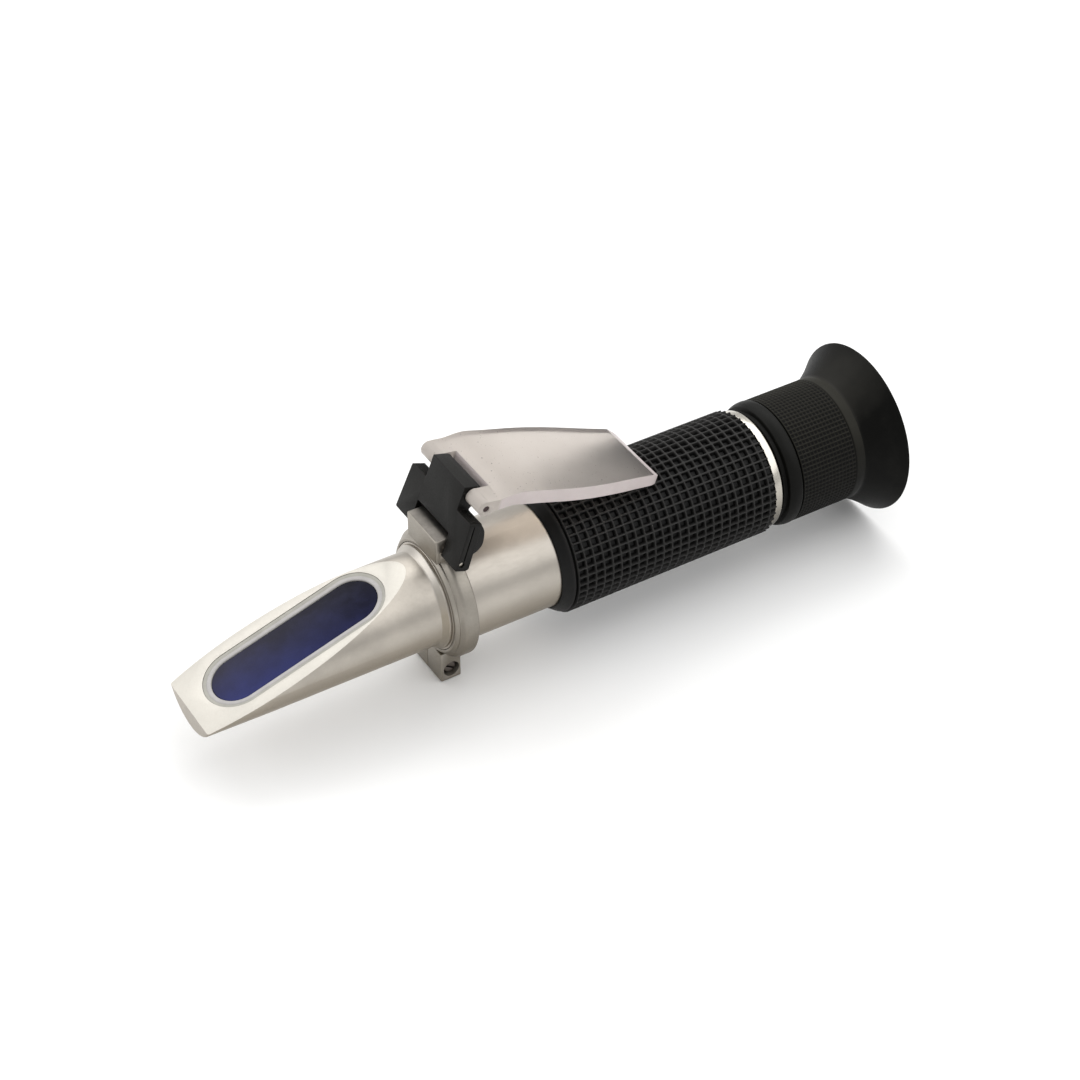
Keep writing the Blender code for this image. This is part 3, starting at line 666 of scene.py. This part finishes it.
def make_collar():
    """The clamp ring: a fine groove and a slope in front, the hinge lug on top and the split foot below."""
    inner, face_x = BARREL_R + BARREL_FIT, COLLAR_X - 0.13
    back, radius = COLLAR_BACK, COLLAR_R
    outline = [
        (face_x, inner), (face_x, 12.45, 0.15), (COLLAR_X + 0.55, 13.1, 0.15), (COLLAR_X + 0.78, 13.0, 0.06),
        (COLLAR_X + 0.92, 13.05, 0.06), (COLLAR_X + 1.5, 13.95, 0.25), (COLLAR_X + 2.1, radius, 0.4),
        (back - 0.15, radius, 0.9), (back, radius - 1.0, 0.4), (back, inner),
    ]
    collar = lathe("hinge_collar_casting", rounded(outline, 5))
    lug_back, lug_bottom = -23.9, 12.6
    foot_half_width, foot_top = 5.6, -12.4
    lug = block("lug", (COLLAR_LOW.x, -LUG_HALF_WIDTH, lug_bottom), (lug_back, LUG_HALF_WIDTH, LUG_TOP))
    foot = block(
        "foot", (COLLAR_X, -foot_half_width, COLLAR_LOW.z - AXIS_Z), (back, foot_half_width, foot_top),
    )
    for part in (lug, foot):
        put(part, (0, 0, AXIS_Z))
        soften(part, 0.35, 3, 60)
    combine(collar, [lug, foot], "UNION")

    half_split, pin_hole_r = 0.08, 0.66
    shank_hole_r, shank_hole_end = 1.15, 3.9
    counterbore_r, counterbore_floor = 1.85, -3.0
    split = block("split", (COLLAR_LOW.x - 2, -half_split, -30), (back + 2, half_split, -9))
    cuts = [
        put(bar("pin_hole", pin_hole_r, -10, 10), (BRACKET_PIN.x, 0, BRACKET_PIN.z)),
        put(split, (0, 0, AXIS_Z)),
        put(bar("shank", shank_hole_r, -10, shank_hole_end), (CLAMP.x, 0, CLAMP.z)),
        put(bar("head", counterbore_r, -10, counterbore_floor), (CLAMP.x, 0, CLAMP.z)),
    ]
    combine(collar, cuts)
    soften(collar, 0.1, 2, 42)
    # the lug's top face takes the darker finish: painted shade
    near_top = (AXIS_Z + LUG_TOP - 0.3) * MM
    paint(
        collar, [collar_metal, lug_top_shade], lambda face: int(face.normal.z > 0.95 and face.center.z > near_top),
    )
    piece(collar, "barrel", collar_metal, ["hinge_collar"], 34)


def make_clamp_screw():
    """The screw that closes the split foot, with a slot across its head."""
    low, high = box_mm("clamp_screw")
    head_back, shank_r = low.y + 1.7, 1.0
    screw = lathe_about("clamp_screw_slotted", (CLAMP.x, CLAMP.z), "Y", [
        (low.y, 0), (low.y, 1.32, 0.25), (head_back, 1.4, 0.1), (head_back, shank_r),
        (high.y, shank_r, 0.2), (high.y, 0),
    ])
    half_slot = 0.22
    slot = block("slot", (-3, low.y - 1, -half_slot), (3, low.y + 0.6, half_slot))
    put(slot, (CLAMP.x, 0, CLAMP.z), radians(35))
    combine(screw, [slot])
    soften(screw, 0.05, 2, 50)
    piece(screw, "barrel", steel, ["clamp_screw"])


# ---------------------------------------------------------------- bracket, pins and plate

def make_bracket():
    """Outlines are drawn with the bracket upright: behind the hinge pin and above it."""
    front_t, back_t = -0.9, 2.0
    half_notch, notch_top = LUG_HALF_WIDTH + 0.3, 3.75
    wing_foot, wing_top = -1.6, 9.2
    half_tongue, tongue_top = 6.25, 14.7
    half_cross = [
        (half_notch, notch_top, 0.5), (half_notch, wing_foot, 0.3), (12.35, wing_foot, 0.5),
        (11.65, wing_top, 0.5), (half_tongue, wing_top, 0.35), (half_tongue, tongue_top - 0.2, 0.1),
    ]
    cross = half_cross + [(-y, v, r) for y, v, r in reversed(half_cross)]
    bracket = extruded("cover_bracket_body", rounded(cross, 4), -back_t, -front_t)
    bracket.data.transform(Matrix.Rotation(pi / 2, 4, "Z"))
    soften(bracket, 0.22, 3)

    bulge_side = [
        (0.5, -0.9), (0.5, 8.8), (2.1, 8.95, 0.4), (3.4, 7.6, 1.2), (4.2, 4.4, 1.2), (3.4, 2.6, 0.8),
        (2.0, 1.7, 0.5), (1.6, -0.7, 0.3),
    ]
    half_bulge = 11.6
    bulge = soften(extruded("bulge", rounded(bulge_side), -half_bulge, half_bulge), 0.4, 3, 30)
    tongue_side = [
        (front_t, 6.0), (front_t, 14.5, 0.25), (1.5, tongue_top, 0.3), (3.3, tongue_top, 1.7),
        (3.3, 11.3, 0.8), (back_t, 9.3, 0.3), (back_t, 6.0),
    ]
    tongue = extruded("tongue", rounded(tongue_side, 8), -half_tongue - 0.01, half_tongue + 0.01)
    soften(tongue, 0.2, 3, 50)
    combine(bracket, [bulge, tongue], "UNION")

    pin_hole_r, tongue_hole_r = 0.62, 0.75
    cuts = [
        block("notch", (-6, -half_notch, -6), (9, half_notch, notch_top - 0.05)),
        bar("pin_hole", pin_hole_r, -THROUGH, THROUGH),
        put(bar("tongue_hole", tongue_hole_r, -THROUGH, THROUGH), (PLATE_PIN_BEHIND, 0, PLATE_PIN_ABOVE)),
        extruded("heel", [(0.1, -2.2), (3.2, -0.2), (3.2, -3), (0.1, -3)], -THROUGH, THROUGH),
    ]
    for seam_y in (-11.75, 11.75):
        cuts.append(block("seam", (0.15, seam_y - 0.45, -3), (0.42, seam_y + 0.45, wing_top - 0.6)))
    combine(bracket, cuts)
    soften(bracket, 0.12, 2, 40)

    ridges = []
    for side in (-1, 1):
        low, high = sorted((side * (half_tongue + 0.5), side * 11.2))
        for t in (-0.35, 0.1, 0.55, 1.0, 1.45):
            ridges.append(block("ridge", (t - 0.1, low, wing_top - 0.2), (t + 0.1, high, wing_top + 0.09)))
    combine(bracket, ridges, "UNION")
    put(bracket, BRACKET_PIN, BRACKET_LEAN)
    piece(bracket, "bracket", black_plastic, ["cover_bracket"])


def make_pins():
    """The round hinge pins of the bracket and the plate."""
    pins = (
        ("bracket_hinge_pin", "bracket_pin", 0.6, pin_metal),
        ("plate_hinge_pin", "plate_pin", 0.72, dark_pin),
    )
    for name, node, radius, finish in pins:
        low, high = box_mm(node)
        centre = (low + high) / 2
        outline = [(low.y, 0), (low.y, radius, 0.18), (high.y, radius, 0.18), (high.y, 0)]
        pin = lathe_about(name, (centre.x, centre.z), "Y", outline, 40)
        piece(pin, "bracket", finish, [node])


def make_plate():
    """Outlines are drawn level: behind the hinge pin, and across it or above it."""
    half_plan = [
        (-0.3, 11.65, 0.2), (6, 11.6, 3), (13, 11.55, 3), (20, 11.75, 3), (26, 11.45, 3), (32, 10.65, 3),
        (38, 9.65, 3), (43.4, 9.0, 0.8), (44.6, 8.3, 0.4),
    ]
    plan = rounded(half_plan + [(x, -y, r) for x, y, r in reversed(half_plan)], 6)
    bevel_start, end, top, underside = 42.7, 44.6, 3.52, 0.52
    side = rounded([
        (-0.3, 1.0), (0, 1.68, 0.3), (3.1, 2.15, 1), (5.2, 2.95, 0.8), (7.4, top, 1.5),
        (bevel_start, top, 0.1), (end, 2.8, 0.15), (end, 0.95, 0.3), (36, underside, 2),
        (9, underside, 2), (6, 0.55, 1),
        (3.4, -0.2, 1), (1.2, -1.0), (0.2, -0.6),
    ])
    plate = extruded("daylight_plate_moulding", plan, -4, 6, "Z")
    combine(plate, [extruded("side", side, -THROUGH, THROUGH)], "INTERSECT")
    soften(plate, 0.35, 3, 50)
    knuckle_r, knuckle_end = 1.72, 11.65
    knuckle = bar("knuckle", knuckle_r, -knuckle_end, knuckle_end, segments=64)
    soften(knuckle, 0.2, 2, 50)
    rib = soften(block("rib", (2.6, -6.9, -0.9), (4.6, 6.9, 2.0)), 0.25, 3, 50)
    combine(plate, [knuckle, rib], "UNION")
    half_slot, slot_depth, pin_hole_r = 6.5, 3.08, 0.76
    slot = block("slot", (-9, -half_slot, -9), (slot_depth, half_slot, 9))
    hole = bar("hole", pin_hole_r, -THROUGH, THROUGH)
    combine(plate, [slot, hole])
    soften(plate, 0.12, 2, 42)

    def choose(face):
        x, y = face.center.x / MM, abs(face.center.y) / MM
        at_end = x > bevel_start + 0.05 and face.normal.x > 0.15
        on_side = abs(face.normal.z) < 0.75 and y > 8 and x > 1.9
        # the slot wall takes the edge finish, which lets less through, to lift it out of the tongue's shade:
        # painted light
        slot_wall_painted_light = face.normal.x < -0.7 and y < 6.6 and x < 3.3
        return int(at_end or on_side or slot_wall_painted_light)

    paint(plate, [clear_finish, edge_finish], choose)
    put(plate, PLATE_PIN, PLATE_SLOPE)
    piece(plate, "plate", clear_finish, ["daylight_plate"])


# ---------------------------------------------------------------- grip and eyepiece

def knurl_stations(count, shares):
    """Positions along a run of equal cells, as (cell share from the start, height share) pairs."""
    return [(i + place, height) for i in range(count) for place, height in shares]


def knurled(name, before, after, x_start, pitch, columns, rows, radius, depth, shares, open_end=False):
    """A turned sleeve whose middle is a lattice of ribs. before and after are plain rings (x, radius).
    An open end stops inside the last row of pits."""
    around = knurl_stations(rows, shares)
    angles = [2 * pi * place / rows for place, _ in around]
    stations = knurl_stations(columns, shares) + [(columns, 0.0)]
    if open_end:
        stations = stations[:-2]
    rings = list(before)
    for place, height in stations:
        radii = [radius - depth * min(height, other) for _, other in around]
        rings.append((x_start + place * pitch, radii))
    return lathe(name, rings + after, angles)


def make_grip():
    """The rubber sleeve: a plain front lip, a groove, and rows of pits between square ribs."""
    inner, outer = BARREL_R + BARREL_FIT, 14.12
    front, back = GRIP_LOW.x, GRIP_HIGH.x
    start, groove_r = front + 2.9, 13.2
    before = rounded([
        (front, inner), (front, inner + 0.35, 0.2), (front + 1.1, 12.95, 0.5), (front + 2.0, 13.65, 0.5),
        (front + 2.35, 13.75, 0.2), (front + 2.5, groove_r, 0.1), (start - 0.12, groove_r, 0.1),
        (start - 0.1, outer - 0.1, 0.1), (back, outer), (back, inner),
    ])[:-2]
    rib_depth = 0.95
    shares = [(0.0, 0.0), (0.08, 0.08), (0.22, 1.0), (0.78, 1.0), (0.92, 0.08)]
    columns = round((back - start) / GRIP_PITCH)
    pitch = (back - start) / (columns - 0.22)
    grip = knurled(
        "grip_waffle_sleeve", before, [(back, inner)], start, pitch, columns, GRIP_ROWS,
        outer, rib_depth, shares, open_end=True,
    )
    piece(grip, "barrel", grip_rubber, ["grip_sleeve"], 26)


def make_bush():
    """The bright ring behind the grip, with a spigot inside the barrel."""
    front, inside = 50.7, 40.0
    radius, bore = 13.5, 8.6
    outline = [
        (front, SPIGOT_R), (front, radius, 0.15), (BUSH_BACK - 0.2, radius, 0.25),
        (BUSH_BACK, radius - 0.3, 0.15), (BUSH_BACK, bore), (inside, bore), (inside, SPIGOT_R),
    ]
    bush = lathe("rear_bright_ring", rounded(outline))
    piece(bush, "barrel", bright, ["rear_bush"])


def make_focus_ring():
    """A thin front band, a groove, and a shoulder that rises to the eyecup, on a hub inside the eyecup."""
    front, back = FOCUS_LOW.x, 57.5
    radius, hub_r, bore = 14.25, 12.6, 8.65
    hub_back = FOCUS_HIGH.x
    outline = [
        (front, bore), (front, 12.9, 0.1), (front + 0.3, 13.1, 0.15), (front + 0.5, hub_r, 0.1),
        (front + 1.2, hub_r, 0.1), (front + 1.4, 13.55, 0.2), (front + 2.4, 14.08, 0.6),
        (front + 3.3, radius, 0.4), (back - 0.3, radius, 0.25), (back, radius - 0.3, 0.15),
        (back, hub_r), (hub_back, hub_r), (hub_back, bore),
    ]
    ring = lathe("focusing_ring", rounded(outline))
    piece(ring, "focus", ring_plastic, ["focus_ring"])


def make_eyecup():
    """A knurled sleeve, a smooth band and a flared cup, with a floor behind the eye lens."""
    radius, inner, wall = 14.15, 12.7, 1.0
    front, back = CUP_LOW.x, CUP_HIGH.x
    rim_r = (CUP_HIGH.z - CUP_LOW.z) / 2
    start, knurl_end, band_end = front + 0.18, 71.6, 74.1
    before = rounded([
        (front, inner), (front, radius - 0.15, 0.08), (front + 0.15, radius, 0.05), (60, radius), (60, inner),
    ])[:-2]
    flare, flare_steps = [], 14
    for i in range(flare_steps + 1):
        t = i / flare_steps
        swell = 0.72 * t + 0.28 * t * t
        flare.append((band_end + (back - 0.25 - band_end) * t, radius + (rim_r - radius) * swell - 0.02))
    inside = [(x - 0.1, r - wall) for x, r in reversed(flare) if x > 75.2]
    band = [
        (knurl_end + 0.1, radius - 0.25, 0.1), (knurl_end + 0.4, radius - 0.05, 0.15),
        (band_end - 0.9, radius + 0.08, 0.4),
    ]
    rim = [(back, rim_r, 0.25), (back, rim_r - 0.7, 0.3)]
    floor_back, floor_front, eye_r = 75.0, 73.5, 7.6
    floor = [(floor_back, 12.4, 0.4), (floor_back, eye_r, 0.3), (floor_front, eye_r), (floor_front, inner)]
    after = rounded(band + flare + rim + inside + floor)
    knurl_depth = 0.26
    shares = [(0.0, 0.0), (0.30, 1.0), (0.70, 1.0)]
    columns = round((knurl_end - start) / CUP_PITCH)
    pitch = (knurl_end - start) / columns
    cup = knurled(
        "eyecup_rubber", before, after, start, pitch, columns, CUP_ROWS, radius, knurl_depth, shares,
    )
    paint(cup, [cup_rubber, flare_rubber], lambda face: int(face.center.x > (band_end + 0.2) * MM))
    piece(cup, "focus", cup_rubber, ["eyecup"], 34)


# ---------------------------------------------------------------- adjusting screw and hidden optics

def make_calibration():
    """The ring that the adjusting screw sits in, with a ledge inside."""
    low, high = box_mm("calibration_seat")
    bore, radius, ledge_r, ledge_z = 1.06, 2.45, 1.75, high.z - 1.0
    seat = lathe_about("calibration_seat_ring", (SEAT.x, 0), "Z", [
        (low.z, bore), (low.z, radius), (high.z, radius, 0.2), (high.z, ledge_r, 0.12), (ledge_z, ledge_r),
        (ledge_z, bore),
    ])
    piece(seat, "barrel", satin, ["calibration_seat"])


def dress_hidden_nodes():
    """Gives the CAD nodes that stay in view the finish of their material slot."""
    finishes = {
        "satin_metal": satin, "cast_metal": cast, "dark_steel": steel, "blackened_metal": black_metal,
        "brass": brass, "black_plastic": black_plastic, "black_rubber": cup_rubber, "grey_seal": seal_finish,
        "prism_glass": prism_finish, "lens_glass": lens_finish, "clear_plastic": clear_finish,
    }
    slots = {row["node"]: row["material_slot"] for row in frame["record"]["subparts"]}
    for name, obj in frame["nodes"].items():
        if obj.hide_render:
            continue
        for material_slot in obj.material_slots:
            material_slot.link = "OBJECT"
            material_slot.material = finishes[slots[name]]


# ---------------------------------------------------------------- stage

CAMERA_AZIMUTH = radians(-31.607)
CAMERA_ELEVATION = radians(40.064)
CAMERA_ROLL = radians(0.171)
CAMERA_DISTANCE = 535.28
CAMERA_TARGET = (0.8, 1.887, 21.016)
CAMERA_LENS = 84.914
LIGHT_TARGET = Vector((0, 0, 0.02))
FLOOR_SIZE = 6
FLOOR_GAP = 0.0002  # below the object, so that the two don't share a plane
DAYLIGHT = 0.68


def make_camera():
    """The camera, aimed at its target by azimuth, elevation and roll."""
    azimuth, elevation = CAMERA_AZIMUTH, CAMERA_ELEVATION
    back = Vector((sin(azimuth) * cos(elevation), -cos(azimuth) * cos(elevation), sin(elevation)))
    right = Vector((cos(azimuth), sin(azimuth), 0))
    up = back.cross(right)
    turn, lean = cos(CAMERA_ROLL), sin(CAMERA_ROLL)
    right, up = right * turn + up * lean, up * turn - right * lean
    lens = bpy.data.cameras.new("camera")
    lens.lens = CAMERA_LENS
    lens.sensor_width = 36
    lens.clip_start = 0.01
    camera = bpy.data.objects.new("camera", lens)
    bpy.context.scene.collection.objects.link(camera)
    where = (Vector(CAMERA_TARGET) + back * CAMERA_DISTANCE) * MM
    camera.matrix_world = Matrix((
        (right.x, up.x, back.x, where.x),
        (right.y, up.y, back.y, where.y),
        (right.z, up.z, back.z, where.z),
        (0, 0, 0, 1),
    ))
    bpy.context.scene.camera = camera


def area_light(name, place, size, power):
    """A white panel at a place in metres, facing the object."""
    light = bpy.data.lights.new(name, "AREA")
    light.shape = "RECTANGLE"
    light.size, light.size_y = size
    light.energy = power
    obj = bpy.data.objects.new(name, light)
    bpy.context.scene.collection.objects.link(obj)
    obj.location = place
    obj.rotation_mode = "QUATERNION"
    obj.rotation_quaternion = (LIGHT_TARGET - Vector(place)).to_track_quat("-Z", "Y")


def make_stage():
    """The pale floor, even daylight and four panels."""
    bpy.ops.mesh.primitive_plane_add(size=FLOOR_SIZE, location=(0, 0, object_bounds()[0].z - FLOOR_GAP))
    floor = bpy.context.object
    floor.name = "floor"
    paper = Finish("pale_paper", (0.93, 0.93, 0.925), 0.9)
    paper.link(paper.mix(paper.noise(60, 3, 0.5), (0.92, 0.92, 0.915), (0.94, 0.94, 0.935)), "Base Color")
    floor.data.materials.append(paper.material)
    world = bpy.data.worlds.new("studio")
    bpy.context.scene.world = world
    world.use_nodes = True
    background = world.node_tree.nodes["Background"]
    background.inputs["Color"].default_value = (1.0, 1.0, 1.0, 1.0)
    background.inputs["Strength"].default_value = DAYLIGHT
    area_light("key", (0.42, -0.46, 0.78), (1.1, 1.2), 5.0)
    area_light("back", (-0.05, 0.66, 0.77), (0.9, 0.7), 2.7)
    area_light("top", (0.40, 0.33, 0.85), (0.7, 0.6), 2.2)
    area_light("left", (-0.82, 0.38, 0.46), (0.9, 0.45), 2.6)
    bpy.context.scene.view_settings.view_transform = "Standard"


make_prism_box()
make_window()
make_barrel()
make_collar()
make_clamp_screw()
make_bracket()
make_pins()
make_plate()
make_grip()
make_bush()
make_focus_ring()
make_eyecup()
make_calibration()
dress_hidden_nodes()
make_camera()
make_stage()
